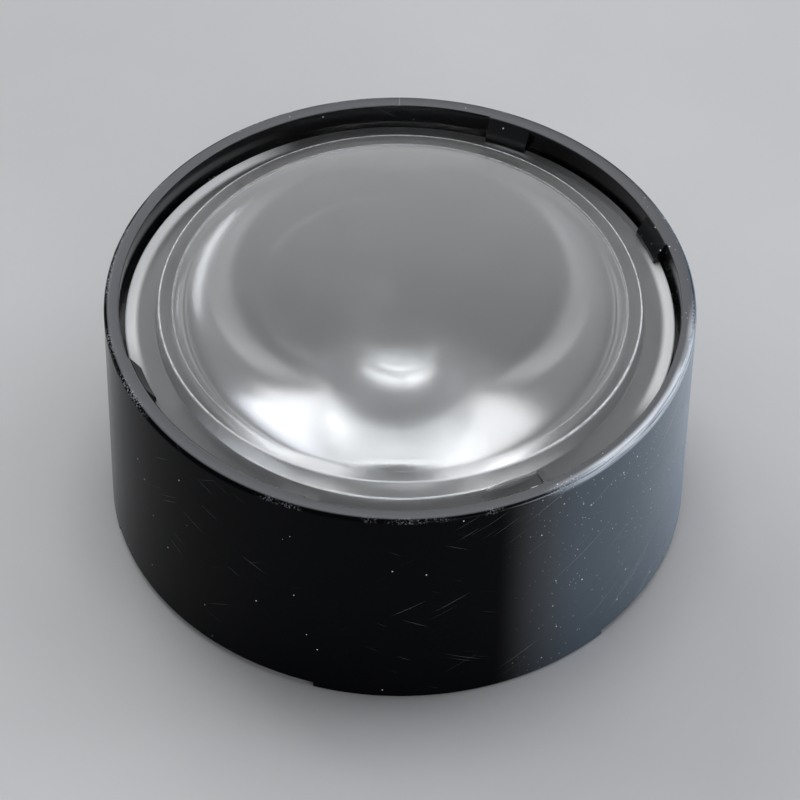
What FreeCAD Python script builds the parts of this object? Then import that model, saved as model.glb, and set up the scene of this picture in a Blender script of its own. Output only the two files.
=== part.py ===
"""Collimating lens for a power LED, clipped into its black moulded holder.

The holder is a drafted cylinder on three low feet, with a round aperture for the LED in its floor,
a ledge that carries the lens and four snap hooks on the wall above it. The lens is one clear
moulding: a bowl-shaped body that reflects inside itself, an LED pocket with a domed ceiling, a flange
and a raised exit face. Origin on the optical axis at the foot of the holder, +Z out of the exit face.
"""
import FreeCAD, Part
import os
import Sketcher

Vector = FreeCAD.Vector
doc = FreeCAD.newDocument("led_lens")

# Driving dimensions, in millimetres and degrees
SIZES = {
    "rim_radius": 10.8,
    "holder_height": 9.7,
    "draft_angle": 0.5,
    "rim_wall": 0.55,
    "rim_rounding": 0.2,
    "rim_chamfer": 0.05,
    "lens_depth": 0.9,
    "flank_play": 0.25,
    "cavity_draft": 1.0,
    "floor_thickness": 1.2,
    "aperture_radius": 4.0,
    "aperture_chamfer": 0.3,
    "foot_chamfer": 0.12,
    "relief_depth": 0.3,
    "relief_span": 59.0,
    "first_relief_azimuth": 104.5,
    "hook_reach": 0.48,
    "hook_tip_height": 0.18,
    "hook_play": 0.04,
    "hook_span": 9.3,
    "hook_pair_azimuth": 44.5,
    "hook_pair_spread": 44.5,
    "sector_rise": 0.08,
    "window_margin": 1.0,
    "window_reach": 2.0,
    "flange_play": 0.2,
    "flange_thickness": 1.04,
    "flange_edge_break": 0.08,
    "flange_width": 1.22,
    "boss_taper": 0.08,
    "boss_rise": 0.76,
    "boss_edge_break": 0.05,
    "ring_width": 0.55,
    "exit_recess": 0.09,
    "seat_width": 1.69,
    "flank_foot_angle": 30.2,
    "flank_seat_angle": 67.3,
    "foot_clearance": 0.84,
    "foot_radius": 2.45,
    "foot_land": 1.03,
    "pocket_taper": 0.04,
    "pocket_depth": 1.57,
    "dome_height": 0.52,
    "gate_azimuth": 297.0,
    "gate_width": 2.9,
    "gate_depth": 0.6,
    "gate_corner": 0.5,
    "gate_land_width": 2.0,
    "gate_land_depth": 0.12,
}

sheet = doc.addObject("Spreadsheet::Sheet", "sizes")
for row, (name, size) in enumerate(SIZES.items(), start=1):
    sheet.set("A%d" % row, name)
    sheet.set("B%d" % row, str(size))
    sheet.setAlias("B%d" % row, name)
doc.recompute()

# Radii and levels that several features share, each an expression over the sheet. The rim carries the
# chain of radii inwards: bore, lens flange, raised ring, exit face, flank and ledge.
BORE_RADIUS = "(sizes.rim_radius - sizes.rim_wall)"
FLANGE_RADIUS = "(%s - sizes.flange_play)" % BORE_RADIUS
BOSS_RADIUS = "(%s - sizes.flange_width)" % FLANGE_RADIUS
EXIT_RADIUS = "(%s - sizes.ring_width)" % BOSS_RADIUS
FLANK_RADIUS = "(%s - sizes.seat_width)" % FLANGE_RADIUS
LEDGE_RADIUS = "(%s + sizes.flank_play)" % FLANK_RADIUS
FLANGE_TOP = "(sizes.holder_height - sizes.lens_depth)"
LEDGE_LEVEL = "(%s - sizes.flange_thickness)" % FLANGE_TOP
BOSS_TOP = "(%s + sizes.boss_rise)" % FLANGE_TOP
EXIT_LEVEL = "(%s - sizes.exit_recess)" % BOSS_TOP
HOLDER_FOOT_RADIUS = "(sizes.rim_radius - sizes.holder_height * tan(sizes.draft_angle * 1 deg))"
CAVITY_FOOT_RADIUS = (
    "(%s - (%s - sizes.floor_thickness) * tan(sizes.cavity_draft * 1 deg))" % (LEDGE_RADIUS, LEDGE_LEVEL)
)
APERTURE_RADIUS = "sizes.aperture_radius"
HOOK_UNDERSIDE = "(%s + sizes.hook_play)" % FLANGE_TOP
HOOK_RADIUS = "(%s - sizes.hook_reach)" % BORE_RADIUS
SECTOR_RADIUS = "(%s - sizes.sector_rise)" % BORE_RADIUS
WINDOW_RADIUS = "(%s - sizes.window_reach)" % BORE_RADIUS
GATE_BOTTOM = "(%s - sizes.gate_depth)" % FLANGE_RADIUS
# The lens's foot hangs clear of the holder's floor, with the LED's body between, and the pocket for
# the LED's dome starts there
FOOT_LEVEL = "(sizes.floor_thickness + sizes.foot_clearance)"
POCKET_RADIUS = "(sizes.foot_radius - sizes.foot_land)"
POCKET_TOP_RADIUS = "(%s - sizes.pocket_taper)" % POCKET_RADIUS
DOME_APEX = "(%s + sizes.pocket_depth)" % FOOT_LEVEL
DOME_EDGE = "(%s + sizes.dome_height)" % DOME_APEX
DOME_RADIUS = "(0.5 * (%s ^ 2 / sizes.dome_height + sizes.dome_height))" % POCKET_TOP_RADIUS
# The flank's two end tangents, at their angles from the horizontal, cross at its middle pole
FOOT_SLOPE = "tan(sizes.flank_foot_angle * 1 deg)"
SEAT_SLOPE = "tan(sizes.flank_seat_angle * 1 deg)"
FLANK_RISE = "(%s - %s)" % (LEDGE_LEVEL, FOOT_LEVEL)
FLANK_POLE_RADIUS = "((%s * %s - sizes.foot_radius * %s - %s) / (%s - %s))" % (
    FLANK_RADIUS, SEAT_SLOPE, FOOT_SLOPE, FLANK_RISE, SEAT_SLOPE, FOOT_SLOPE
)
FLANK_POLE_LEVEL = "(%s + (%s - sizes.foot_radius) * %s)" % (FOOT_LEVEL, FLANK_POLE_RADIUS, FOOT_SLOPE)
# Cuts start and end this far outside the solid, so that they always pass right through it
OVERRUN = "1"
# Two edges or points nearer than this are the same
TOUCH = 1e-4
# A feature that changes the volume by less than this, in cubic millimetres, has done nothing
LEAST_CHANGE = 1e-3
# What a sketch calls the points of a line, an arc or a curve's pole
START, END, CENTRE = range(1, 4)


def value(text):
    """Number that an expression over the sheet gives now."""
    return float(sheet.evalExpression(text))


def origin_plane(body, role):
    return next(plane for plane in body.Origin.OriginFeatures if plane.Role == role)


def new_sketch(body, name, role, azimuth=None, level=None):
    """Sketch on one of the body's origin planes, turned about the optical axis and lifted along it."""
    sketch = body.newObject("Sketcher::SketchObject", name)
    sketch.AttachmentSupport = (origin_plane(body, role), "")
    sketch.MapMode = "FlatFace"
    if azimuth is not None:
        optical_axis = Vector(0, 1, 0) if role == "XZ_Plane" else Vector(0, 0, 1)
        sketch.AttachmentOffset = FreeCAD.Placement(Vector(), optical_axis, value(azimuth))
        sketch.setExpression("AttachmentOffset.Rotation.Angle", azimuth)
    if level is not None:
        sketch.setExpression("AttachmentOffset.Base.z", level)
    return sketch


def pin(sketch, kind, constraint_place, text):
    """Adds a distance constraint and ties it to an expression."""
    index = sketch.addConstraint(Sketcher.Constraint(kind, *constraint_place, value(text)))
    sketch.setExpression("Constraints[%d]" % index, text)


def pin_point(sketch, geometry, point, place):
    """Holds a point of the sketch at its two expressions, measured from the sketch's origin."""
    for kind, text in zip(("DistanceX", "DistanceY"), place):
        pin(sketch, kind, (-1, START, geometry, point), text)


def draw_outline(sketch, corners, curves=None):
    """Closed outline through the corners, each held at its two expressions.

    curves gives the geometry of the sides that aren't straight, by the number of their first corner.
    """
    curves = curves or {}
    points = [Vector(value(x), value(y), 0) for x, y in corners]
    sides = []
    for number, start in enumerate(points):
        end = points[(number + 1) % len(points)]
        sides.append(sketch.addGeometry(curves.get(number, Part.LineSegment(start, end)), False))
    for number, side in enumerate(sides):
        following = (number + 1) % len(sides)
        start_end = [START, END] if number not in curves else curve_ends(sketch, side, points[number])
        next_start = START
        if following in curves:
            next_start = curve_ends(sketch, sides[following], points[following])[0]
        joint = (side, start_end[1], sides[following], next_start)
        sketch.addConstraint(Sketcher.Constraint("Coincident", *joint))
        pin_point(sketch, side, start_end[0], corners[number])
    return sides


def curve_ends(sketch, side, start):
    """Numbers of a curved side's first and last point, whichever way round it is drawn."""
    gap = (sketch.getPoint(side, START) - start).Length
    return [START, END] if gap < TOUCH else [END, START]


def revolve(body, sketch, name, kind="PartDesign::Revolution", span=None):
    """Turns a section about the optical axis, right round or over a span centred on its own plane."""
    before = 0 if body.Tip is None else body.Tip.Shape.Volume
    feature = body.newObject(kind, name)
    feature.Profile = sketch
    feature.ReferenceAxis = (sketch, ["V_Axis"])
    feature.Angle = 360
    if span is not None:
        feature.Midplane = True
        feature.setExpression("Angle", span)
    check_change(feature, before)
    return feature


def cut_pocket(body, sketch, name, depth=None):
    """Cuts a sketch's outline down from its plane, to a depth or right through."""
    before = body.Tip.Shape.Volume
    feature = body.newObject("PartDesign::Pocket", name)
    feature.Profile = sketch
    if depth is None:
        feature.Type = "ThroughAll"
    else:
        feature.setExpression("Length", depth)
    check_change(feature, before)
    return feature


def check_change(feature, before):
    """A feature that points away from its solid changes nothing and gives no error of its own."""
    doc.recompute()
    grows = feature.TypeId == "PartDesign::Revolution"
    change = feature.Shape.Volume - before
    if (change if grows else -change) < LEAST_CHANGE:
        raise RuntimeError("%s changes nothing" % feature.Name)


def is_ring(edge, radius, level):
    """True for a circular edge about the optical axis with this radius at this height."""
    if edge.Degenerated or not isinstance(edge.Curve, Part.Circle):
        return False
    centre = edge.Curve.Center
    centred = abs(centre.x) + abs(centre.y) < TOUCH and abs(abs(edge.Curve.Axis.z) - 1) < TOUCH
    return centred and abs(edge.Curve.Radius - radius) < TOUCH and abs(centre.z - level) < TOUCH


def ease_edges(body, name, test, size, kind="PartDesign::Fillet"):
    """Rounds or chamfers the edges of the body so far that pass the test."""
    base = body.Tip
    edges = ["Edge%d" % n for n, edge in enumerate(base.Shape.Edges, start=1) if test(edge)]
    feature = body.newObject(kind, name)
    feature.Base = (base, edges)
    feature.setExpression("Radius" if kind == "PartDesign::Fillet" else "Size", size)
    doc.recompute()
    return feature


def make_holder():
    body = doc.addObject("PartDesign::Body", "holder")
    body.Label = "holder"
    section = new_sketch(body, "holder_section", "XZ_Plane")
    draw_outline(section, [
        (HOLDER_FOOT_RADIUS, "0"),
        ("sizes.rim_radius", "sizes.holder_height"),
        (BORE_RADIUS, "sizes.holder_height"),
        (BORE_RADIUS, LEDGE_LEVEL),
        (LEDGE_RADIUS, LEDGE_LEVEL),
        (CAVITY_FOOT_RADIUS, "sizes.floor_thickness"),
        (APERTURE_RADIUS, "sizes.floor_thickness"),
        (APERTURE_RADIUS, "0"),
    ])
    revolve(body, section, "holder_shell")

    # Rim, foot and aperture edges are eased while they are still whole rings
    for name, ring_radius, level, kind in [
        ("rim_rounding", "sizes.rim_radius", "sizes.holder_height", "PartDesign::Fillet"),
        ("foot_chamfer", HOLDER_FOOT_RADIUS, "0", "PartDesign::Chamfer"),
        ("rim_chamfer", BORE_RADIUS, "sizes.holder_height", "PartDesign::Chamfer"),
        ("aperture_chamfer", APERTURE_RADIUS, "0", "PartDesign::Chamfer"),
    ]:
        place = value(ring_radius), value(level)
        ease_edges(body, name, lambda edge: is_ring(edge, *place), "sizes." + name, kind)

    # Three shallow reliefs leave three feet between them
    for number in range(3):
        azimuth = "(sizes.first_relief_azimuth + %d)" % (120 * number)
        relief = new_sketch(body, "relief_section_%d" % (number + 1), "XZ_Plane", azimuth)
        draw_outline(relief, rectangle("0.5 * " + APERTURE_RADIUS, "sizes.rim_radius + %s" % OVERRUN,
                                       "-%s" % OVERRUN, "sizes.relief_depth"))
        revolve(body, relief, "relief_%d" % (number + 1), "PartDesign::Groove", "sizes.relief_span")

    # Round each pair of hooks the bore stands a little proud, where the mould has an insert
    root = "(%s + 0.5 * sizes.rim_wall)" % BORE_RADIUS
    crest = "(sizes.holder_height - sizes.rim_chamfer)"
    for number, pair in enumerate((0, 180), start=1):
        azimuth = "(sizes.hook_pair_azimuth + %d)" % pair
        sector = new_sketch(body, "sector_section_%d" % number, "XZ_Plane", azimuth)
        draw_outline(sector, [
            (root, HOOK_UNDERSIDE),
            (root, "sizes.holder_height"),
            ("(%s + sizes.rim_chamfer)" % SECTOR_RADIUS, "sizes.holder_height"),
            (SECTOR_RADIUS, crest),
            (SECTOR_RADIUS, HOOK_UNDERSIDE),
        ])
        revolve(body, sector, "sector_%d" % number, span="sizes.hook_pair_spread + sizes.hook_span")

    # Two pairs of snap hooks, each hook over a window that its mould core came through
    for number, (pair, side) in enumerate([(0, -0.5), (0, 0.5), (180, -0.5), (180, 0.5)], start=1):
        azimuth = "(sizes.hook_pair_azimuth + %d + %g * sizes.hook_pair_spread)" % (pair, side)
        window = new_sketch(body, "window_section_%d" % number, "XZ_Plane", azimuth)
        draw_outline(window, rectangle(WINDOW_RADIUS, BORE_RADIUS, "-%s" % OVERRUN, LEDGE_LEVEL))
        revolve(body, window, "hook_window_%d" % number, "PartDesign::Groove",
                "sizes.hook_span + sizes.window_margin")
        hook = new_sketch(body, "hook_section_%d" % number, "XZ_Plane", azimuth)
        draw_outline(hook, [
            (root, HOOK_UNDERSIDE),
            (root, crest),
            (SECTOR_RADIUS, crest),
            (HOOK_RADIUS, "(%s + sizes.hook_tip_height)" % HOOK_UNDERSIDE),
            (HOOK_RADIUS, HOOK_UNDERSIDE),
        ])
        revolve(body, hook, "hook_%d" % number, span="sizes.hook_span")
    return body


def rectangle(left, right, bottom, top):
    return [(left, bottom), (right, bottom), (right, top), (left, top)]


def make_lens():
    body = doc.addObject("PartDesign::Body", "lens")
    body.Label = "lens"
    section = new_sketch(body, "lens_section", "XZ_Plane")
    corners = [
        ("0", EXIT_LEVEL),
        ("0", DOME_APEX),
        (POCKET_TOP_RADIUS, DOME_EDGE),
        (POCKET_RADIUS, FOOT_LEVEL),
        ("sizes.foot_radius", FOOT_LEVEL),
        (FLANK_RADIUS, LEDGE_LEVEL),
        (FLANGE_RADIUS, LEDGE_LEVEL),
        (FLANGE_RADIUS, FLANGE_TOP),
        (BOSS_RADIUS + " + sizes.boss_taper", FLANGE_TOP),
        (BOSS_RADIUS, BOSS_TOP),
        (EXIT_RADIUS, BOSS_TOP),
        (EXIT_RADIUS, EXIT_LEVEL),
    ]
    dome_side, flank_side = 1, 4

    # The pocket's ceiling is a convex dome whose centre lies on the axis
    apex, edge = value(DOME_APEX), value(DOME_EDGE)
    radius, half_width = value(DOME_RADIUS), value(POCKET_TOP_RADIUS)
    middle = Vector(0.5 * half_width, apex + radius - (radius ** 2 - (0.5 * half_width) ** 2) ** 0.5, 0)
    dome = Part.Arc(Vector(0, apex, 0), middle, Vector(half_width, edge, 0))

    # The flank is an arc of a parabola: a curve of degree 2 whose middle pole lies on both end tangents.
    # Steep at the seat and flatter at the foot, it turns the LED's sideways light up to the exit face.
    flank = Part.BSplineCurve()
    flank_poles = [corners[flank_side], (FLANK_POLE_RADIUS, FLANK_POLE_LEVEL), corners[flank_side + 1]]
    flank.buildFromPoles([Vector(value(x), value(y), 0) for x, y in flank_poles], False, 2)

    sides = draw_outline(section, corners, {dome_side: dome, flank_side: flank})
    pin(section, "Radius", (sides[dome_side],), DOME_RADIUS)
    first_pole = len(section.Geometry)
    section.exposeInternalGeometry(sides[flank_side])
    middle_pole = first_pole + 1
    pin_point(section, middle_pole, CENTRE, flank_poles[1])
    revolve(body, section, "lens_moulding")

    # Each crisp moulded edge is broken by the little that the tool leaves
    edge_break = "PartDesign::Chamfer"
    flange_radius = value(FLANGE_RADIUS)
    levels = value(FLANGE_TOP), value(LEDGE_LEVEL)
    ease_edges(body, "flange_edges",
               lambda edge: any(is_ring(edge, flange_radius, level) for level in levels),
               "sizes.flange_edge_break", edge_break)
    boss_edge = value(BOSS_RADIUS), value(BOSS_TOP)
    ease_edges(body, "boss_edge", lambda edge: is_ring(edge, *boss_edge),
               "sizes.boss_edge_break", edge_break)

    # The gate was cut off inside a notch in the flange, with a shallow flat from there to the boss
    land = new_sketch(body, "gate_land_outline", "XY_Plane", "sizes.gate_azimuth", FLANGE_TOP)
    draw_outline(land, rectangle(BOSS_RADIUS + " + sizes.boss_taper",
                                 "%s + %s" % (FLANGE_RADIUS, OVERRUN),
                                 "-0.5 * sizes.gate_land_width", "0.5 * sizes.gate_land_width"))
    cut_pocket(body, land, "gate_land", "sizes.gate_land_depth")
    notch = new_sketch(body, "gate_notch_outline", "XY_Plane", "sizes.gate_azimuth", FLANGE_TOP)
    draw_gate_notch(notch)
    cut_pocket(body, notch, "gate_notch")
    return body


def draw_gate_notch(sketch):
    """Three-sided notch open to the flange's edge, with its two inner corners rounded."""
    half_width = "0.5 * sizes.gate_width"
    corner_start = "(%s + sizes.gate_corner)" % GATE_BOTTOM
    outside = "(%s + %s)" % (FLANGE_RADIUS, OVERRUN)
    corners = [
        (corner_start, "-" + half_width),
        (outside, "-" + half_width),
        (outside, half_width),
        (corner_start, half_width),
        (GATE_BOTTOM, half_width + " - sizes.gate_corner"),
        (GATE_BOTTOM, "sizes.gate_corner - " + half_width),
    ]
    radius = value("sizes.gate_corner")
    across = value(half_width) - radius
    diagonal = radius * 0.5 ** 0.5
    arcs = {}
    for number, side in ((3, 1), (5, -1)):
        ends = corners[number], corners[(number + 1) % len(corners)]
        start, end = (Vector(value(x), value(y), 0) for x, y in ends)
        middle = Vector(value(corner_start) - diagonal, side * (across + diagonal), 0)
        arcs[number] = Part.Arc(start, middle, end)
    sides = draw_outline(sketch, corners, arcs)
    for number in arcs:
        pin(sketch, "Radius", (sides[number],), "sizes.gate_corner")


holder = make_holder()
lens = make_lens()
doc.recompute()

for item in doc.Objects:
    if any(word in item.State for word in ("Invalid", "Error")):
        raise RuntimeError("failed: %s %s" % (item.Name, item.State))

os.makedirs("parts", exist_ok=True)
for body in (holder, lens):
    shape = body.Shape
    if shape.isNull() or not shape.isValid() or len(shape.Solids) != 1:
        raise RuntimeError("bad shape: %s" % body.Label)
    shape.exportStep("parts/%s.step" % body.Label)
    print(body.Label, "volume %.1f mm3" % shape.Volume, shape.BoundBox)
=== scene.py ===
# %% [markdown]
# # A clear lens for one power LED, clipped into its black holder
#
# The real object is two mouldings and nothing else. A glossy black ring of polycarbonate stands on
# three low feet, and a clear acrylic lens is pressed into it until four snap hooks catch its flange.
# The camera looks down on it from 46 degrees, so the eye gets three things: the satin exit face, the
# thin rim round it, and a long black wall that mirrors whatever lies in front of it.
#
# The lesson takes the frame and the sizes first, then both mouldings and their finishes. Floor, camera
# and light come last, because a black wall and a clear lens show little more than what surrounds them.

# %% Load the frame
import math

import bpy
from mathutils import Matrix, Vector


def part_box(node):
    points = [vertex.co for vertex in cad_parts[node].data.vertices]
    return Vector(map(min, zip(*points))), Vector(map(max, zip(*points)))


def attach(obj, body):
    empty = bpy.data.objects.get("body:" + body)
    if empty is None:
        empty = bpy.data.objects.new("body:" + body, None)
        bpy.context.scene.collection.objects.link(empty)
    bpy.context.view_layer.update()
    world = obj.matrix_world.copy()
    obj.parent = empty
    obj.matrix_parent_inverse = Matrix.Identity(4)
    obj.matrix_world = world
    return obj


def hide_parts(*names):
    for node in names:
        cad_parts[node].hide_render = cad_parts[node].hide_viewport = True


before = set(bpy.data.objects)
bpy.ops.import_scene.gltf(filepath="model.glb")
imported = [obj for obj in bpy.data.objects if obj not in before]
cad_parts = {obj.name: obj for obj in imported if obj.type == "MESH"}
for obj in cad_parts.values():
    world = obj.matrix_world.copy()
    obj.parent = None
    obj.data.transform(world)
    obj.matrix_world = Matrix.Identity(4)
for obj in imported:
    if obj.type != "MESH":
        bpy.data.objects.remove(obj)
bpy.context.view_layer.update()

MM = 0.001
holder_low, holder_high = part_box("holder")
print("holder", [round(v / MM, 3) for v in (*holder_low, *holder_high)])

# %% [markdown]
# ## Sizes
#
# Every radius follows from the rim inwards, as it does on the real part: the wall leaves a bore, the
# flange sits in the bore with a little play, the raised ring stands on the flange and the flank comes
# in under it. All values are in millimetres.

# %% Radii, from the rim inwards
WALL_THICKNESS, LENS_PLAY, FLANK_PLAY = 0.55, 0.2, 0.25
FLANGE_WIDTH, RING_WIDTH, SEAT_WIDTH = 1.22, 0.55, 1.69
RIM_RADIUS = round((holder_high.x - holder_low.x) / 2 / MM, 1)
BORE_RADIUS = RIM_RADIUS - WALL_THICKNESS
FLANGE_RADIUS = BORE_RADIUS - LENS_PLAY
BOSS_RADIUS = FLANGE_RADIUS - FLANGE_WIDTH
EXIT_RADIUS = BOSS_RADIUS - RING_WIDTH
FLANK_RADIUS = FLANGE_RADIUS - SEAT_WIDTH
LEDGE_RADIUS = FLANK_RADIUS + FLANK_PLAY
APERTURE_RADIUS = 4.0
print("radii: rim", RIM_RADIUS, "bore", round(BORE_RADIUS, 2), "exit face", round(EXIT_RADIUS, 2))

# %% Heights, from the rim down and from the floor up
FLANGE_DEPTH, FLANGE_THICKNESS, RING_RISE, EXIT_RECESS = 0.9, 1.04, 0.76, 0.09
FLOOR_THICKNESS, FOOT_CLEARANCE = 1.2, 0.84
HEIGHT = round(holder_high.z / MM, 2)
FLANGE_TOP = HEIGHT - FLANGE_DEPTH
LEDGE_LEVEL = FLANGE_TOP - FLANGE_THICKNESS
BOSS_TOP = FLANGE_TOP + RING_RISE
EXIT_LEVEL = BOSS_TOP - EXIT_RECESS
FOOT_LEVEL = FLOOR_THICKNESS + FOOT_CLEARANCE
print("heights: rim", HEIGHT, "flange", round(FLANGE_TOP, 2), "foot", round(FOOT_LEVEL, 2))

# %% [markdown]
# ## Drawing a section and turning it
#
# Both mouldings are round, so the natural way is to draw half a section and turn it about the optical
# axis. The section starts as one vertex and grows by extrusion. Its corners are then rounded with the
# bevel operator, because no moulded edge is perfectly sharp, and a rounded one catches a line of light.

# %% Draw a section
TURN_STEPS = 288
NEAR = 0.02 * MM
WELD = 0.0005 * MM


def deselect_everything():
    bpy.ops.object.select_all(action="DESELECT")


def draw_section(name, corners):
    """One chain of edges in the XZ plane, a vertex for each (radius, height)."""
    deselect_everything()
    radius, height = corners[0]
    bpy.ops.mesh.primitive_plane_add(size=MM, location=(radius * MM, 0, height * MM))
    piece = bpy.context.object
    piece.name = piece.data.name = name
    bpy.ops.object.mode_set(mode="EDIT")
    bpy.ops.mesh.merge(type="CENTER")
    for (r0, z0), (r1, z1) in zip(corners, corners[1:]):
        step = ((r1 - r0) * MM, 0, (z1 - z0) * MM)
        bpy.ops.mesh.extrude_region_move(TRANSFORM_OT_translate={"value": step})
    bpy.ops.object.mode_set(mode="OBJECT")
    bpy.ops.object.transform_apply(location=True, rotation=True, scale=True)
    return piece


def select_vertices(piece, test):
    """Selects the vertices that pass the test and leaves the piece in edit mode."""
    bpy.ops.object.mode_set(mode="EDIT")
    bpy.ops.mesh.select_mode(type="VERT")
    bpy.ops.mesh.select_all(action="DESELECT")
    bpy.ops.object.mode_set(mode="OBJECT")
    for vertex in piece.data.vertices:
        vertex.select = test(vertex.co)
    bpy.ops.object.mode_set(mode="EDIT")


def round_corner(piece, corner, size, steps):
    """Rounds the section's corner that lies at this radius and height."""
    place = Vector((corner[0] * MM, 0, corner[1] * MM))
    select_vertices(piece, lambda co: (co - place).length < NEAR)
    bpy.ops.mesh.bevel(offset=size * MM, segments=steps, affect="VERTICES")
    bpy.ops.object.mode_set(mode="OBJECT")


# %% Turn a section and combine what was turned
def turn_section(piece, degrees=360, steps=TURN_STEPS):
    """Spins the section about the optical axis, merges what meets and turns the faces outward."""
    bpy.ops.object.mode_set(mode="EDIT")
    bpy.ops.mesh.select_all(action="SELECT")
    bpy.ops.mesh.spin(steps=steps, angle=math.radians(degrees), center=(0, 0, 0), axis=(0, 0, 1))
    bpy.ops.mesh.select_all(action="SELECT")
    bpy.ops.mesh.remove_doubles(threshold=WELD)
    bpy.ops.mesh.normals_make_consistent(inside=False)
    bpy.ops.object.mode_set(mode="OBJECT")


def turn_to(piece, azimuth):
    """Turns a piece's mesh about the optical axis, anticlockwise from +X."""
    piece.data.transform(Matrix.Rotation(math.radians(azimuth), 4, "Z"))


def combine(piece, other, operation):
    """Boolean of two closed meshes, applied to the first. The second is deleted."""
    modifier = piece.modifiers.new("boolean", "BOOLEAN")
    modifier.operation = operation
    modifier.solver = "EXACT"
    modifier.object = other
    deselect_everything()
    piece.select_set(True)
    bpy.context.view_layer.objects.active = piece
    bpy.ops.object.modifier_apply(modifier=modifier.name)
    bpy.data.objects.remove(other)


def report(piece):
    corners = [Vector(c) / MM for c in piece.bound_box]
    heights = "height %.2f to %.2f" % (corners[0].z, corners[6].z)
    print(piece.name, len(piece.data.polygons), "faces,", heights)


# %% [markdown]
# ## The holder
#
# A cup with a hole in its floor: outside a drafted wall, at the top a flat land with a rounded outer
# edge, inside the bore, the ledge that carries the lens, and the floor with the LED's aperture. Both
# walls lean a little, so that the moulding slips off its core and out of its mould.

# %% Turn the holder's shell
RIM_ROUNDING, EDGE_BREAK, FOOT_CHAMFER, APERTURE_CHAMFER = 0.2, 0.05, 0.12, 0.3
OUTER_DRAFT, INNER_DRAFT = math.radians(0.5), math.radians(1)
foot_radius_outside = RIM_RADIUS - HEIGHT * math.tan(OUTER_DRAFT)
cavity_foot_radius = LEDGE_RADIUS - (LEDGE_LEVEL - FLOOR_THICKNESS) * math.tan(INNER_DRAFT)
shell_corners = [
    (foot_radius_outside, 0),
    (RIM_RADIUS, HEIGHT),
    (BORE_RADIUS, HEIGHT),
    (BORE_RADIUS, LEDGE_LEVEL),
    (LEDGE_RADIUS, LEDGE_LEVEL),
    (cavity_foot_radius, FLOOR_THICKNESS),
    (APERTURE_RADIUS, FLOOR_THICKNESS),
    (APERTURE_RADIUS, 0),
]
holder = draw_section("holder_moulding", shell_corners + shell_corners[:1])
bpy.ops.object.mode_set(mode="EDIT")
bpy.ops.mesh.select_all(action="SELECT")
bpy.ops.mesh.remove_doubles(threshold=WELD)
bpy.ops.object.mode_set(mode="OBJECT")
for number, size, steps in [
    (0, FOOT_CHAMFER, 3), (1, RIM_ROUNDING, 7), (2, EDGE_BREAK, 3),
    (4, EDGE_BREAK, 2), (6, EDGE_BREAK, 2), (7, APERTURE_CHAMFER, 1),
]:
    round_corner(holder, shell_corners[number], size, steps)
turn_section(holder)
report(holder)

# %% [markdown]
# ### Feet
#
# The holder stands on three feet, with shallow reliefs between them, because three feet never rock. A
# relief is a low wedge of a ring. It is drawn and turned as the shell was, over part of the circle
# only, and cut away.

# %% Cut the reliefs between the feet
RELIEF_DEPTH, RELIEF_SPAN, RELIEF_INNER_RADIUS = 0.3, 59, 2
RELIEF_AZIMUTHS = [104.5 + 120 * turn for turn in range(3)]
WEDGE_STEPS, WIDE_WEDGE_STEPS = 12, 48
# How far a cutter reaches past what it cuts
PAST = 1


def turned_wedge(name, corners, span, azimuth, steps=WEDGE_STEPS):
    """Closed section turned over a span that is centred on the azimuth."""
    wedge = draw_section(name, corners)
    # Joins the last vertex to the first
    select_vertices(wedge, lambda co: True)
    bpy.ops.mesh.edge_face_add()
    bpy.ops.object.mode_set(mode="OBJECT")
    turn_section(wedge, span, steps)
    # The spin operator turns clockwise as seen from above
    turn_to(wedge, azimuth + span / 2)
    return wedge


def rectangle(inner, outer, bottom, top):
    return [(inner, bottom), (outer, bottom), (outer, top), (inner, top)]


for azimuth in RELIEF_AZIMUTHS:
    outline = rectangle(RELIEF_INNER_RADIUS, RIM_RADIUS + PAST, -PAST, RELIEF_DEPTH)
    cutter = turned_wedge("relief", outline, RELIEF_SPAN, azimuth, WIDE_WEDGE_STEPS)
    combine(holder, cutter, "DIFFERENCE")
report(holder)

# %% [markdown]
# ### Snap hooks
#
# Two pairs of hooks face each other across the bore. Round each pair the bore stands a little proud,
# which stiffens the wall where the hooks spring. A hook is a ramp that the lens pushes aside on its way
# in, with a flat underside that then holds the flange. Each window is where the mould's core stood that
# shaped such an underside. What is added starts inside the wall, and its faces lie two thousandths of
# a millimetre beside the wall's, because a boolean is only safe where no two faces coincide.

# %% Raise the two sectors of the bore
PAIR_AZIMUTHS, HOOKS_APART, HOOK_SPAN = (44.5, 224.5), 44.5, 9.3
SECTOR_RISE, HOOK_CLEARANCE, ROOT_DEPTH, BESIDE = 0.08, 0.04, 0.27, 0.002
SECTOR_RADIUS = BORE_RADIUS - SECTOR_RISE
HOOK_UNDERSIDE = FLANGE_TOP + HOOK_CLEARANCE
ROOT_RADIUS = BORE_RADIUS + ROOT_DEPTH
for azimuth in PAIR_AZIMUTHS:
    sector = turned_wedge("sector", [
        (ROOT_RADIUS, HOOK_UNDERSIDE),
        (ROOT_RADIUS, HEIGHT - BESIDE),
        (SECTOR_RADIUS + EDGE_BREAK, HEIGHT - BESIDE),
        (SECTOR_RADIUS, HEIGHT - EDGE_BREAK),
        (SECTOR_RADIUS, HOOK_UNDERSIDE),
    ], HOOKS_APART + HOOK_SPAN, azimuth, WIDE_WEDGE_STEPS)
    combine(holder, sector, "UNION")

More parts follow.
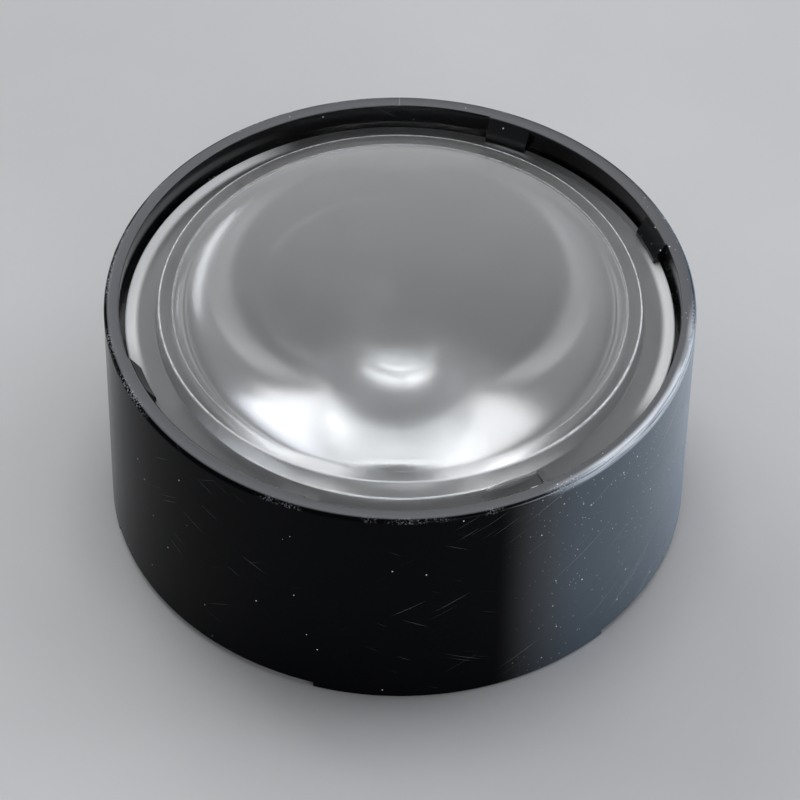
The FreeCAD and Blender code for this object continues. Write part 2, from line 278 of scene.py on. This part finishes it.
# %% Cut the windows and add the hooks
HOOK_REACH, HOOK_TIP, HOOK_TOP = 0.48, 0.18, HEIGHT - 1.2 * EDGE_BREAK
HOOK_AZIMUTHS = [pair + side for pair in PAIR_AZIMUTHS for side in (-HOOKS_APART / 2, HOOKS_APART / 2)]
WINDOW_REACH, WINDOW_EXTRA_SPAN, WINDOW_PAST_LEDGE = 2.0, 1, 0.1
for azimuth in HOOK_AZIMUTHS:
    window = turned_wedge("window", rectangle(
        BORE_RADIUS - WINDOW_REACH, BORE_RADIUS - BESIDE, -PAST, LEDGE_LEVEL + WINDOW_PAST_LEDGE,
    ), HOOK_SPAN + WINDOW_EXTRA_SPAN, azimuth)
    combine(holder, window, "DIFFERENCE")
    hook = turned_wedge("hook", [
        (ROOT_RADIUS, HOOK_UNDERSIDE - BESIDE),
        (ROOT_RADIUS, HOOK_TOP),
        (SECTOR_RADIUS + BESIDE, HOOK_TOP),
        (BORE_RADIUS - HOOK_REACH, HOOK_UNDERSIDE + HOOK_TIP),
        (BORE_RADIUS - HOOK_REACH, HOOK_UNDERSIDE - BESIDE),
    ], HOOK_SPAN, azimuth)
    combine(holder, hook, "UNION")
report(holder)

# %% [markdown]
# ## The lens
#
# One clear moulding. The flank is an arc of a parabola, flatter at the foot and steep at the ledge,
# which mirrors the light thrown sideways up and out. The pocket's domed ceiling takes the light that
# goes straight up. Seen from above, the satin face blurs flank and dome into two soft lobes and a
# bright crescent.

# %% Shape the flank and the dome
FOOT_RADIUS, FOOT_LAND, POCKET_TAPER, POCKET_DEPTH, DOME_HEIGHT = 2.45, 1.03, 0.04, 1.57, 0.52
FOOT_SLOPE, SEAT_SLOPE = math.tan(math.radians(30.2)), math.tan(math.radians(67.3))
POCKET_RADIUS = FOOT_RADIUS - FOOT_LAND
POCKET_TOP_RADIUS = POCKET_RADIUS - POCKET_TAPER
DOME_APEX = FOOT_LEVEL + POCKET_DEPTH


def flank_point(share):
    """Point on the arc of a parabola, from the foot at 0 to the ledge at 1."""
    foot, ledge = Vector((FOOT_RADIUS, FOOT_LEVEL)), Vector((FLANK_RADIUS, LEDGE_LEVEL))
    run = FLANK_RADIUS * SEAT_SLOPE - FOOT_RADIUS * FOOT_SLOPE - (LEDGE_LEVEL - FOOT_LEVEL)
    pole_radius = run / (SEAT_SLOPE - FOOT_SLOPE)
    pole = Vector((pole_radius, FOOT_LEVEL + (pole_radius - FOOT_RADIUS) * FOOT_SLOPE))
    return (1 - share) ** 2 * foot + 2 * share * (1 - share) * pole + share ** 2 * ledge


def dome_point(share):
    """Point on the dome, from its edge at 0 to its apex at 1."""
    dome_radius = (POCKET_TOP_RADIUS ** 2 / DOME_HEIGHT + DOME_HEIGHT) / 2
    widest = math.asin(POCKET_TOP_RADIUS / dome_radius)
    angle = (1 - share) * widest
    return dome_radius * math.sin(angle), DOME_APEX + dome_radius * (1 - math.cos(angle))


print("dome apex", round(DOME_APEX, 2), "above the board, pocket radius", round(POCKET_RADIUS, 2))

# %% Turn the lens
FLANK_STEPS, DOME_STEPS = 40, 16
BOSS_TAPER, EXIT_BAND = 0.08, 0.3
STEP_ROUNDING, RING_ROUNDING, FLANGE_ROUNDING = 0.03, 0.06, 0.08
lens_corners = [
    (0, EXIT_LEVEL),
    (EXIT_RADIUS - EXIT_BAND, EXIT_LEVEL),
    (EXIT_RADIUS, EXIT_LEVEL),
    (EXIT_RADIUS, BOSS_TOP),
    (BOSS_RADIUS, BOSS_TOP),
    (BOSS_RADIUS + BOSS_TAPER, FLANGE_TOP),
    (FLANGE_RADIUS, FLANGE_TOP),
    (FLANGE_RADIUS, LEDGE_LEVEL),
    *[flank_point(1 - n / FLANK_STEPS) for n in range(FLANK_STEPS + 1)],
    (POCKET_RADIUS, FOOT_LEVEL),
    *[dome_point(n / DOME_STEPS) for n in range(DOME_STEPS + 1)],
]
lens = draw_section("lens_moulding", lens_corners)
for number, size, steps in [
    (3, STEP_ROUNDING, 3), (4, RING_ROUNDING, 4), (5, RING_ROUNDING, 4),
    (6, FLANGE_ROUNDING, 4), (7, FLANGE_ROUNDING, 4), (2, STEP_ROUNDING, 2),
]:
    round_corner(lens, lens_corners[number], size, steps)
turn_section(lens)
report(lens)

# %% [markdown]
# ### Gate
#
# The gate is where the acrylic flowed in. It was cut off inside a notch, so that the stub can't touch
# the holder, and a shallow flat leads to it across the flange. Two blocks cut them. The notch's block
# has its inner upright edges rounded first, as the mould's would be.

# %% Cut the gate's flat
GATE_AZIMUTH, GATE_LAND_WIDTH, GATE_LAND_DEPTH = 297, 2.0, 0.12
LAND_LEVEL = FLANGE_TOP - GATE_LAND_DEPTH


def gate_block(name, inner, width, bottom, top):
    """Block that reaches from a radius out past the flange."""
    outer = FLANGE_RADIUS + PAST
    deselect_everything()
    bpy.ops.mesh.primitive_cube_add(size=1)
    block = bpy.context.object
    block.name = name
    block.scale = ((outer - inner) * MM, width * MM, (top - bottom) * MM)
    block.location = ((outer + inner) / 2 * MM, 0, (top + bottom) / 2 * MM)
    bpy.ops.object.transform_apply(location=True, rotation=True, scale=True)
    return block


land = gate_block("gate_land", BOSS_RADIUS + BOSS_TAPER, GATE_LAND_WIDTH, LAND_LEVEL, FLANGE_TOP + PAST / 2)
turn_to(land, GATE_AZIMUTH)
combine(lens, land, "DIFFERENCE")

# %% Cut the gate's notch
NOTCH_WIDTH, NOTCH_DEPTH, NOTCH_CORNER, NOTCH_CORNER_STEPS = 2.9, 0.6, 0.5, 6
notch_radius = FLANGE_RADIUS - NOTCH_DEPTH
notch = gate_block("gate_notch", notch_radius, NOTCH_WIDTH, LEDGE_LEVEL - PAST, FLANGE_TOP + PAST)
inner_face = notch_radius * MM
select_vertices(notch, lambda co: abs(co.x - inner_face) < NEAR)
bpy.ops.mesh.select_mode(type="EDGE")
bpy.ops.object.mode_set(mode="OBJECT")
for edge in notch.data.edges:
    ends = [notch.data.vertices[v].co for v in edge.vertices]
    upright = abs(ends[0].z - ends[1].z) > NEAR
    edge.select = upright and all(abs(end.x - inner_face) < NEAR for end in ends)
bpy.ops.object.mode_set(mode="EDIT")
bpy.ops.mesh.bevel(offset=NOTCH_CORNER * MM, segments=NOTCH_CORNER_STEPS)
bpy.ops.object.mode_set(mode="OBJECT")
turn_to(notch, GATE_AZIMUTH)
combine(lens, notch, "DIFFERENCE")
report(lens)

# %% [markdown]
# ## Finishes
#
# A finish is a shader and the patterns that feed it. A pattern is worked out in millimetres on the
# object itself: how far a point lies from the optical axis, how high it is, and which way it faces. So
# it stays where it is when the camera moves. The helpers below keep each pattern to a line or two.

# %% Material helpers
def srgb(text):
    """Linear colour of an sRGB hex value."""
    levels = [int(text[i:i + 2], 16) / 255 for i in (1, 3, 5)]
    linear = [c / 12.92 if c <= 0.04045 else ((c + 0.055) / 1.055) ** 2.4 for c in levels]
    return (*linear, 1)


def add_node(tree, kind, inputs=None, **settings):
    """Adds a node. inputs gives a socket's number or name its value, or the socket that feeds it."""
    made = tree.nodes.new(kind)
    for name, setting in settings.items():
        setattr(made, name, setting)
    for socket, source in (inputs or {}).items():
        if isinstance(source, bpy.types.NodeSocket):
            tree.links.new(source, made.inputs[socket])
        else:
            made.inputs[socket].default_value = source
    return made


def new_material(name):
    """Empty material with its output node, and its tree."""
    material = bpy.data.materials.new(name)
    material.use_nodes = True
    material.node_tree.nodes.clear()
    output = add_node(material.node_tree, "ShaderNodeOutputMaterial")
    return material, material.node_tree, output


# %% Places on the object
def object_radius(tree, position):
    """The place, its distance from the optical axis and its three coordinates, in millimetres."""
    scaled = add_node(tree, "ShaderNodeVectorMath", {0: position, "Scale": 1 / MM}, operation="SCALE")
    place = scaled.outputs[0]
    axes = add_node(tree, "ShaderNodeSeparateXYZ", {0: place})
    flat = add_node(tree, "ShaderNodeVectorMath", {0: place, 1: (1, 1, 0)}, operation="MULTIPLY")
    radius = add_node(tree, "ShaderNodeVectorMath", {0: flat.outputs[0]}, operation="LENGTH")
    return place, radius.outputs["Value"], axes.outputs


def ramp(tree, source, low, high, start=0.0, end=1.0):
    """Smooth step between two levels of a value."""
    return add_node(tree, "ShaderNodeMapRange", {
        0: source, 1: low, 2: high, 3: start, 4: end,
    }, interpolation_type="SMOOTHSTEP").outputs[0]


def towards(tree, place, azimuth, low, high):
    """Smooth step between two cosines of the angle from an azimuth about the optical axis."""
    a = math.radians(azimuth)
    flat = add_node(tree, "ShaderNodeVectorMath", {0: place, 1: (1, 1, 0)}, operation="MULTIPLY")
    unit = add_node(tree, "ShaderNodeVectorMath", {0: flat.outputs[0]}, operation="NORMALIZE")
    cosine = add_node(tree, "ShaderNodeVectorMath", {
        0: unit.outputs[0], 1: (math.cos(a), math.sin(a), 0),
    }, operation="DOT_PRODUCT")
    return ramp(tree, cosine.outputs["Value"], low, high)


def times(tree, first, second):
    return add_node(tree, "ShaderNodeMath", {0: first, 1: second}, operation="MULTIPLY").outputs[0]


def plus(tree, first, second, cap=False):
    added = add_node(tree, "ShaderNodeMath", {0: first, 1: second}, operation="ADD", use_clamp=cap)
    return added.outputs[0]


# %% [markdown]
# ### Black polycarbonate
#
# The holder is moulded in a polished mould, so it is glossy, and its black is deep. It has been handled:
# the wall carries white dust, fine scratches and a few long ones. To place them, the wall is unrolled to
# (angle times radius, height), and a scratch is a band of noise drawn out along it. Real dust and
# scratches are finer still. These are drawn just coarse enough to show.

# %% Unroll the wall
black, tree, output = new_material("moulded black polycarbonate")
position = add_node(tree, "ShaderNodeTexCoord").outputs["Object"]
place, radius, (east, north, height) = object_radius(tree, position)
turn = add_node(tree, "ShaderNodeMath", {0: north, 1: east}, operation="ARCTAN2").outputs[0]
arc = times(tree, turn, RIM_RADIUS)
unrolled = add_node(tree, "ShaderNodeCombineXYZ", {0: arc, 1: height}).outputs[0]


def scratches(angle, length, width, low, high, offset):
    """Noise stretched along a slanted direction on the unrolled wall, cut to thin bands."""
    turned = add_node(tree, "ShaderNodeMapping", {
        "Vector": unrolled, "Location": (offset, 0, 0), "Rotation": (0, 0, math.radians(angle)),
    })
    drawn = add_node(tree, "ShaderNodeVectorMath", {
        0: turned.outputs[0], 1: (1 / length, 1 / width, 1),
    }, operation="MULTIPLY")
    bands = add_node(tree, "ShaderNodeTexNoise", {
        "Vector": drawn.outputs[0], "Scale": 1.0, "Detail": 1.0, "Roughness": 0.4,
    })
    return ramp(tree, bands.outputs[0], low, high)


def specks(cell, size, seed):
    """White dots, one at most in a cell, where a cell's point lies on the surface."""
    shifted = add_node(tree, "ShaderNodeVectorMath", {0: place, 1: (seed, 0, 0)}, operation="ADD")
    dots = add_node(tree, "ShaderNodeTexVoronoi", {"Vector": shifted.outputs[0], "Scale": 1 / cell})
    return ramp(tree, dots.outputs["Distance"], 1.15 * size / cell, 0.85 * size / cell)


# %% Dust and scratches
# A noise scale counts cells per millimetre, so these patches are about 4.5 mm wide
patches = add_node(tree, "ShaderNodeTexNoise", {"Vector": place, "Scale": 0.22, "Detail": 2.0}).outputs[0]
rising = scratches(angle=-33, length=4.2, width=0.045, low=0.73, high=0.8, offset=0)
falling = scratches(angle=24, length=2.8, width=0.04, low=0.75, high=0.81, offset=7)
scratched = times(tree, plus(tree, rising, falling, True), ramp(tree, patches, 0.46, 0.64))

# On one side the wall carries more dust and long scratches, and a painted bluish sheen
# Painted sheen: this side's wall gets more reflection, tinted bluish, and it also gets more dust
dust_and_sheen_side = towards(tree, place, azimuth=-16, low=0.58, high=0.84)
outside = ramp(tree, radius, RIM_RADIUS - RIM_ROUNDING, RIM_RADIUS - 0.5 * RIM_ROUNDING)
sheen_and_scratch_side = times(tree, outside, dust_and_sheen_side)
long_scratches = scratches(angle=-29, length=6.5, width=0.055, low=0.72, high=0.79, offset=15)
long_ones = times(tree, long_scratches, sheen_and_scratch_side)
fine_dust = plus(tree, specks(cell=0.24, size=0.017, seed=5), specks(cell=0.6, size=0.034, seed=9), True)
dust = plus(tree, specks(cell=0.8, size=0.028, seed=0), times(tree, fine_dust, dust_and_sheen_side), True)

# %% [markdown]
# The rounding outside the rim's flat land rubs against everything, so it is worn pale in patches. On
# the near right a pale band runs along a whole stretch, a little way down the wall too: a painted
# highlight, with drawn-out scratches in it. The flat land itself was never polished, and looks grey.

# %% Wear and a painted highlight on the rim
past_land = plus(tree, radius, RIM_ROUNDING - RIM_RADIUS)
past_wall = plus(tree, height, RIM_ROUNDING - HEIGHT)
past_both = plus(tree, past_land, past_wall)
on_rounding = ramp(tree, past_both, RIM_ROUNDING, 1.25 * RIM_ROUNDING)
# Grains of 0.06 mm, in worn places of 2 mm
grains = add_node(tree, "ShaderNodeTexNoise", {"Vector": place, "Scale": 16.0, "Detail": 3.0}).outputs[0]
places = add_node(tree, "ShaderNodeTexNoise", {"Vector": place, "Scale": 0.5, "Detail": 3.0}).outputs[0]
worn_grains = times(tree, on_rounding, ramp(tree, grains, 0.5, 0.62))
wear = times(tree, worn_grains, ramp(tree, places, 0.45, 0.62))
on_land = ramp(tree, height, HEIGHT - 0.03, HEIGHT - 0.01)

# Painted highlight: a pale band on the rim's near right, a little way down the wall, with drawn-out
# scratches
highlight_stretch = towards(tree, place, azimuth=-30, low=0.85, high=0.97)
below_rim = ramp(tree, past_both, 0.2 * RIM_ROUNDING, 1.15 * RIM_ROUNDING)
drawn_out = scratches(angle=0, length=2.0, width=0.03, low=0.35, high=0.6, offset=3)
rub_and_painted_highlight = times(tree, times(tree, highlight_stretch, below_rim), plus(tree, times(tree, drawn_out, 0.55), 0.35))

# %% [markdown]
# All marks are added up, each with its own weight, and the rim's painted highlight with them. They make
# the plastic paler and rougher. The black mirrors almost nothing on its outer wall, where it faces the
# eye: painted shade that keeps the wall dark. On one side it mirrors more, and bluish, with a soft sheen:
# a painted sheen.

# %% Black polycarbonate's shader
SCRATCH_WEIGHT, WEAR_WEIGHT, LONG_SCRATCH_WEIGHT = 0.24, 0.35, 0.5
marks_and_highlight = plus(tree, dust, times(tree, scratched, SCRATCH_WEIGHT))
marks_and_highlight = plus(tree, marks_and_highlight, times(tree, wear, WEAR_WEIGHT), True)
marks_and_highlight = plus(tree, plus(tree, marks_and_highlight, times(tree, long_ones, LONG_SCRATCH_WEIGHT)), rub_and_painted_highlight, True)
# The pale colour of dust, scratches and wear, and of the painted highlight
colour = add_node(tree, "ShaderNodeMix", {
    0: on_land, 6: srgb("#060709"), 7: srgb("#4b4c51"),
}, data_type="RGBA")
marks_and_highlight_colour = add_node(tree, "ShaderNodeMix", {
    0: marks_and_highlight, 6: colour.outputs[2], 7: srgb("#dfe6ee"),
}, data_type="RGBA")

SHEEN_SIDE_ROUGHNESS, LAND_ROUGHNESS, MARK_ROUGHNESS = 0.12, 0.28, 0.5
rough = ramp(tree, patches, 0.3, 0.7, start=0.13, end=0.18)
rough = plus(tree, rough, times(tree, dust_and_sheen_side, SHEEN_SIDE_ROUGHNESS))
rough = plus(tree, rough, times(tree, on_land, LAND_ROUGHNESS))
rough = plus(tree, rough, times(tree, marks_and_highlight, MARK_ROUGHNESS), True)
# The mould's own fine waves, about 0.2 mm apart
waves = add_node(tree, "ShaderNodeTexNoise", {"Vector": place, "Scale": 6.0, "Detail": 2.0}).outputs[0]
relief = plus(tree, times(tree, waves, 0.4), times(tree, scratched, -0.6))
bump = add_node(tree, "ShaderNodeBump", {"Strength": 0.12, "Distance": 0.02 * MM, "Height": relief})

# Painted shade and sheen: the outer wall hardly mirrors at all, and on one side it mirrors more
INNER_GLOSS, OUTER_GLOSS = 0.5, 0.025
PAINTED_SHEEN_GLOSS, PAINTED_SHEEN_COAT, PAINTED_SHEEN_WEIGHT = 0.95, 0.85, 0.24
gloss = plus(tree, times(tree, outside, OUTER_GLOSS - INNER_GLOSS), INNER_GLOSS)
gloss = plus(tree, gloss, times(tree, sheen_and_scratch_side, PAINTED_SHEEN_GLOSS))
# The bluish tint, the coat and the sheen on one side paint a reflected bluish sheen
tint = add_node(tree, "ShaderNodeMix", {
    0: sheen_and_scratch_side, 6: srgb("#ffffff"), 7: srgb("#86c1ee"),
}, data_type="RGBA")
shader = add_node(tree, "ShaderNodeBsdfPrincipled", {
    "Base Color": marks_and_highlight_colour.outputs[2], "Roughness": rough, "IOR": 1.58,
    "Specular IOR Level": gloss, "Specular Tint": tint.outputs[2],
    "Coat Weight": times(tree, sheen_and_scratch_side, PAINTED_SHEEN_COAT), "Coat Roughness": 0.22, "Coat IOR": 1.6,
    "Sheen Weight": times(tree, sheen_and_scratch_side, PAINTED_SHEEN_WEIGHT), "Sheen Roughness": 0.45,
    "Sheen Tint": srgb("#6cb6ee"), "Normal": bump.outputs[0],
})
tree.links.new(shader.outputs[0], output.inputs[0])
print(black.name, len(tree.nodes), "nodes")

# %% [markdown]
# ### Acrylic
#
# The acrylic has two finishes. The flank and the pocket are polished, so they mirror and bend light
# cleanly. Every upward face is satin: its fine grain spreads what passes through, and a little of the
# light stays in it as a milky veil. The veil is made thicker towards the far side of the exit face, and
# on the ring and the flange towards both sides: painted light, as it falls from behind and from the sides.

# %% Clear acrylic
clear, tree, output = new_material("polished moulded acrylic")
shader = add_node(tree, "ShaderNodeBsdfPrincipled", {
    "Base Color": srgb("#f8fafb"), "Roughness": 0.02, "IOR": 1.49, "Transmission Weight": 1.0,
})
tree.links.new(shader.outputs[0], output.inputs[0])

# %% The satin's veil, with painted light
satin, tree, output = new_material("satin moulded acrylic")
position = add_node(tree, "ShaderNodeTexCoord").outputs["Object"]
place, radius, (east, north, height) = object_radius(tree, position)
# The grain is drawn 0.07 mm wide, coarser than a real satin's, and the veil's mottling 1.4 mm
grain = add_node(tree, "ShaderNodeTexNoise", {"Vector": place, "Scale": 14.0, "Detail": 2.0}).outputs[0]
mottle = add_node(tree, "ShaderNodeTexNoise", {"Vector": place, "Scale": 0.7, "Detail": 3.0}).outputs[0]
past_ring = ramp(tree, radius, BOSS_RADIUS, BOSS_RADIUS + 0.12)
past_step = ramp(tree, radius, EXIT_RADIUS - 0.02, EXIT_RADIUS + 0.02)
sideways = add_node(tree, "ShaderNodeMath", {0: east}, operation="ABSOLUTE").outputs[0]
# Thicker towards the far side and towards both sides: painted light from behind and from the sides
veil_and_painted_light = add_node(tree, "ShaderNodeMix", {
    0: past_step,
    2: ramp(tree, north, -EXIT_RADIUS, EXIT_RADIUS, start=0.05, end=0.26),
    3: ramp(tree, sideways, 0.4 * FLANGE_RADIUS, FLANGE_RADIUS, start=0.02, end=0.14),
}).outputs[0]
veil_and_painted_light = plus(tree, veil_and_painted_light, times(tree, past_ring, 0.01))
veil_and_painted_light = plus(tree, veil_and_painted_light, ramp(tree, mottle, 0.3, 0.7, start=-0.006, end=0.006))

# %% [markdown]
# Two details finish the satin, both painted light. On the flange's outer band, left and right, a thicker
# veil paints bright bands. Along the ring's two edges it paints fine broken lines, painted highlights.

# %% The satin's painted bright bands and edge highlights
# Painted bright bands on the flange's outer band, left and right
on_left = towards(tree, place, azimuth=158, low=0.7, high=0.9)
on_right = towards(tree, place, azimuth=-3, low=0.88, high=0.97)
outer_band = ramp(tree, radius, FLANGE_RADIUS - 0.55, FLANGE_RADIUS - 0.3)
painted_bright_bands = times(tree, plus(tree, on_left, on_right, True), outer_band)
veil_and_painted_light = plus(tree, veil_and_painted_light, times(tree, painted_bright_bands, 0.75))
on_top = ramp(tree, height, EXIT_LEVEL - 0.03, EXIT_LEVEL - 0.01)
broken = ramp(tree, grain, 0.38, 0.6, start=0.25, end=1.0)
# Painted highlights: fine broken bright lines along the ring's two edges
for edge_radius, strength in ((BOSS_RADIUS - 0.02, 0.95), (EXIT_RADIUS + 0.01, 0.4)):
    beside = plus(tree, radius, -edge_radius)
    away = add_node(tree, "ShaderNodeMath", {0: beside}, operation="ABSOLUTE").outputs[0]
    painted_edge_line = times(tree, times(tree, ramp(tree, away, 0.055, 0.02), broken), on_top)
    veil_and_painted_light = plus(tree, veil_and_painted_light, times(tree, painted_edge_line, strength), True)

# %% The satin's shader
passing = add_node(tree, "ShaderNodeMath", {0: 1.0, 1: veil_and_painted_light}, operation="SUBTRACT").outputs[0]
rough = ramp(tree, grain, 0.3, 0.7, start=0.335, end=0.345)
shader = add_node(tree, "ShaderNodeBsdfPrincipled", {
    "Base Color": srgb("#f4f6f8"), "Roughness": rough, "IOR": 1.49, "Transmission Weight": passing,
})
tree.links.new(shader.outputs[0], output.inputs[0])
print(satin.name, len(tree.nodes), "nodes")

# %% [markdown]
# ## Handing the pieces over
#
# Every lens face from the gate's flat upwards is satin, the rest is polished. Edges sharper than 32
# degrees stay sharp. Normals are weighted by the size of the faces, so that large flat faces stay flat
# right up to the small roundings. Each piece then takes the place of its own plain solid.

# %% Finishes on the meshes
SMOOTH_ANGLE = math.radians(32)
holder.data.materials.append(black)
lens.data.materials.append(clear)
lens.data.materials.append(satin)
satin_from = (LAND_LEVEL - 0.01) * MM
for face in lens.data.polygons:
    face.material_index = 1 if face.center.z > satin_from else 0

for piece in (holder, lens):
    deselect_everything()
    piece.select_set(True)
    bpy.context.view_layer.objects.active = piece
    bpy.ops.object.shade_smooth_by_angle(angle=SMOOTH_ANGLE)
    weights = piece.modifiers.new("weights", "WEIGHTED_NORMAL")
    weights.keep_sharp = True
    bpy.ops.object.modifier_apply(modifier=weights.name)
    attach(piece, "root")
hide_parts("holder")
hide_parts("lens")

# %% [markdown]
# ## Floor
#
# The floor is a pale matt board. The wall mirrors the strip of it just in front, so it looks black only
# as long as that strip lies in the object's own shadow. That is why most light comes from behind.

# %% Floor
FLOOR_SIZE = 3
deselect_everything()
bpy.ops.mesh.primitive_plane_add(size=FLOOR_SIZE)
ground = bpy.context.object
ground.name = "ground"
pale, tree, output = new_material("pale matt board")
# Here the position is in metres, so a scale of 60 mottles the board in patches of about 17 mm
position = add_node(tree, "ShaderNodeTexCoord").outputs["Object"]
mottle = add_node(tree, "ShaderNodeTexNoise", {"Vector": position, "Scale": 60.0, "Detail": 4.0}).outputs[0]
board = add_node(tree, "ShaderNodeMix", {
    0: ramp(tree, mottle, 0.3, 0.7), 6: srgb("#c3c4c6"), 7: srgb("#c8c9cb"),
}, data_type="RGBA")
shader = add_node(tree, "ShaderNodeBsdfPrincipled", {
    "Base Color": board.outputs[2], "Roughness": 0.7, "Specular IOR Level": 0.25,
})
tree.links.new(shader.outputs[0], output.inputs[0])
ground.data.materials.append(pale)

# %% [markdown]
# ## Camera
#
# The camera stands 18 rim radii away with a long lens, so near and far ends of the rim look almost
# equally large. It sees the rim's centre from 45.8 degrees above, and is pitched down one degree more
# than that, which lifts the rim above the middle of the frame. It is rolled by not quite a degree.

# %% Camera
RIM_CENTRE = Vector((0, 0, HEIGHT * MM))
DISTANCE = 18 * RIM_RADIUS * MM
SENSOR_WIDTH, FOCAL_LENGTH, CLIP_START = 36, 240.2, 0.01
SIGHT, PITCH, YAW, ROLL = (math.radians(a) for a in (45.82, 46.89, 0.02, 0.92))
forward = Vector((math.sin(YAW) * math.cos(PITCH), math.cos(YAW) * math.cos(PITCH), -math.sin(PITCH)))
level = forward.cross(Vector((0, 0, 1))).normalized()
upward = level.cross(forward)
right = math.cos(ROLL) * level + math.sin(ROLL) * upward
up = math.cos(ROLL) * upward - math.sin(ROLL) * level
camera_data = bpy.data.cameras.new("camera")
camera_data.sensor_width = SENSOR_WIDTH
camera_data.lens = FOCAL_LENGTH
camera_data.clip_start = CLIP_START
camera = bpy.data.objects.new("camera", camera_data)
camera.location = RIM_CENTRE + DISTANCE * Vector((0, -math.cos(SIGHT), math.sin(SIGHT)))
camera.rotation_euler = Matrix((right, up, -forward)).transposed().to_euler()
bpy.context.scene.collection.objects.link(camera)
bpy.context.scene.camera = camera
print("camera", round(DISTANCE, 3), "m from the rim's centre")

# %% [markdown]
# ## Light
#
# Softboxes stand round the object half a metre away, and each is placed for what the lens or the wall
# makes of it. The lens bends the light of the boxes overhead, behind and beside it into the crescent
# and the two lobes. The boxes at the right also light the rim and the wall's right side, where its sheen
# is painted, and the low one in front brings out the marks on the wall. The camera itself doesn't see
# any of them.

# %% Softboxes
LIGHT_DISTANCE = 0.5


def softbox(name, azimuth, elevation, wide, high, glow, colour="#ffffff"):
    """Rectangular light that faces the object. wide and high are the angles that it fills."""
    a, e = math.radians(azimuth), math.radians(elevation)
    data = bpy.data.lights.new(name, "AREA")
    data.shape = "RECTANGLE"
    data.size = 2 * LIGHT_DISTANCE * math.tan(math.radians(wide / 2))
    data.size_y = 2 * LIGHT_DISTANCE * math.tan(math.radians(high / 2))
    data.energy = math.pi * data.size * data.size_y * glow
    data.color = srgb(colour)[:3]
    box = bpy.data.objects.new(name, data)
    direction = Vector((math.cos(a) * math.cos(e), math.sin(a) * math.cos(e), math.sin(e)))
    box.location = RIM_CENTRE + LIGHT_DISTANCE * direction
    box.rotation_euler = direction.to_track_quat("Z", "Y").to_euler()
    box.visible_camera = False
    bpy.context.scene.collection.objects.link(box)
    print(name, "%.0f by %.0f mm, %.2f W" % (data.size / MM, data.size_y / MM, data.energy))


softbox("overhead", azimuth=90, elevation=80, wide=24, high=24, glow=4.5)
softbox("back left", azimuth=120, elevation=35, wide=30, high=24, glow=3.5)
softbox("left", azimuth=150, elevation=46, wide=28, high=44, glow=1.3)
softbox("high right", azimuth=46, elevation=58, wide=56, high=24, glow=1.6)
softbox("right key", azimuth=22, elevation=34, wide=30, high=24, glow=1.9, colour="#f4f7ff")
softbox("high front", azimuth=270, elevation=62, wide=44, high=22, glow=0.35)
softbox("low front", azimuth=300, elevation=12, wide=50, high=20, glow=4.0, colour="#fbfcff")

# %% [markdown]
# The room adds a weak, even light from all sides. The Standard view transform keeps the blacks deep and
# the lobes white, as a product photograph has them.

# %% Room light
world = bpy.data.worlds.new("studio")
world.use_nodes = True
background = world.node_tree.nodes["Background"]
background.inputs["Color"].default_value = srgb("#f8faff")
background.inputs["Strength"].default_value = 0.14
bpy.context.scene.world = world
bpy.context.scene.view_settings.view_transform = "Standard"
